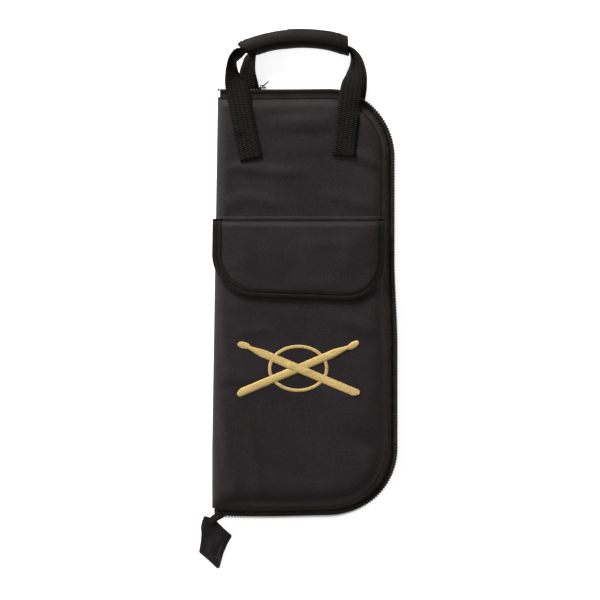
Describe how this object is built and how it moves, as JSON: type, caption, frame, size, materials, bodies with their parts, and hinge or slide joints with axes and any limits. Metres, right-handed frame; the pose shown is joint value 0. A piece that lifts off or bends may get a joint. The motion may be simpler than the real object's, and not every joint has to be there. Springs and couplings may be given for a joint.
{
  "type": "drum stick bag",
  "caption": "Book-style zipped drum stick bag with padded covers, inner stick pockets, a flapped outer pocket and two webbing handles in a padded wrap.",
  "frame": {"origin": "middle of the bag's plan, on the back face that it rests on", "axes": "+X from the spine to the zipped edge, +Y towards the handles, +Z out of the front"},
  "size_m": [0.215, 0.5905, 0.0341],
  "materials": {
    "cover_cloth": "600-denier woven nylon",
    "lining": "plain woven lining",
    "foam": "closed-cell foam sheet",
    "webbing": "ribbed webbing",
    "binding": "grosgrain binding tape",
    "zip_tape": "herringbone zip tape",
    "coil": "nylon coil",
    "slider_metal": "black painted zinc",
    "thread": "satin stitch thread",
    "hook_loop": "hook and loop tape"
  },
  "bodies": {
    "back_half": {"back_cover_cloth": "cover_cloth", "back_cover_foam": "foam", "back_cover_lining": "lining", "back_strap_sewn_ends": "webbing", "back_stick_pocket": "lining", "back_stick_pocket_binding": "binding", "zip_tape_back": "zip_tape", "zip_coil_back": "coil", "zip_stops_back": "slider_metal", "zip_tail": "zip_tape"},
    "spine": {"spine_cloth": "cover_cloth", "spine_lining": "lining"},
    "front_half": {"front_cover_cloth": "cover_cloth", "front_cover_foam": "foam", "front_cover_lining": "lining", "front_strap_sewn_ends": "webbing", "front_stick_pocket": "lining", "front_stick_pocket_binding": "binding", "zip_tape_front": "zip_tape", "zip_coil_front": "coil", "zip_stops_front": "slider_metal", "outer_pocket": "cover_cloth", "outer_pocket_hem": "binding", "pocket_loop_tape": "hook_loop", "embroidered_emblem": "thread", "flap_seam": "cover_cloth"},
    "pocket_flap": {"flap_cloth": "cover_cloth", "flap_lining": "lining", "flap_binding": "binding", "flap_hook_tape": "hook_loop"},
    "slider": {"zip_slider": "slider_metal"},
    "pull": {"zip_pull": "slider_metal"},
    "back_handle": {"back_handle_strap": "webbing", "grip_wrap": "cover_cloth"},
    "wrap_leaf": {"grip_wrap_leaf": "cover_cloth"},
    "front_handle": {"front_handle_strap": "webbing"},
    "tail_tab": {"end_tab": "cover_cloth"}
  },
  "joints": [
    {"name": "spine_fold", "type": "hinge", "parent": "back_half", "child": "spine", "pos_m": [-0.0993, 0, 0.0028], "axis": [0, -1, 0], "range_deg": [0, 90]},
    {"name": "front_cover_fold", "type": "hinge", "parent": "spine", "child": "front_half", "pos_m": [-0.0993, 0, 0.0232], "axis": [0, -1, 0], "range_deg": [0, 90], "deforming": ["grip_wrap_leaf"]},
    {"name": "flap_fold", "type": "hinge", "parent": "front_half", "child": "pocket_flap", "pos_m": [-0.007, 0.0915, 0.0288], "axis": [-1, 0, 0], "range_deg": [0, 150]},
    {"name": "zip_slide", "type": "slide", "parent": "back_half", "child": "slider", "axis": [1, 0, 0], "range_m": [0, 0.068]},
    {"name": "pull_swing", "type": "hinge", "parent": "slider", "child": "pull", "pos_m": [-0.048, 0.23715, 0.013], "axis": [0, 0, 1], "range_deg": [-35, 45]},
    {"name": "handle_swing", "type": "hinge", "parent": "back_half", "child": "back_handle", "pos_m": [0, 0.235, 0.013], "axis": [1, 0, 0], "range_deg": [-90, 90]},
    {"name": "front_handle_swing", "type": "hinge", "parent": "front_half", "child": "front_handle", "pos_m": [0, 0.235, 0.013], "axis": [1, 0, 0], "range_deg": [-90, 90]},
    {"name": "wrap_open", "type": "hinge", "parent": "back_handle", "child": "wrap_leaf", "pos_m": [-0.011, 0.3005, 0.011], "axis": [-1, 0, 0], "range_deg": [0, 150]},
    {"name": "tab_lift", "type": "hinge", "parent": "back_half", "child": "tail_tab", "pos_m": [-0.099, -0.2392, 0.0105], "axis": [-1, 0, 0], "range_deg": [0, 75]}
  ],
  "couplings": [
    {"joint": "front_cover_fold", "follows": "spine_fold", "ratio": 1},
    {"joint": "front_handle_swing", "follows": "handle_swing", "ratio": 1}
  ]
}
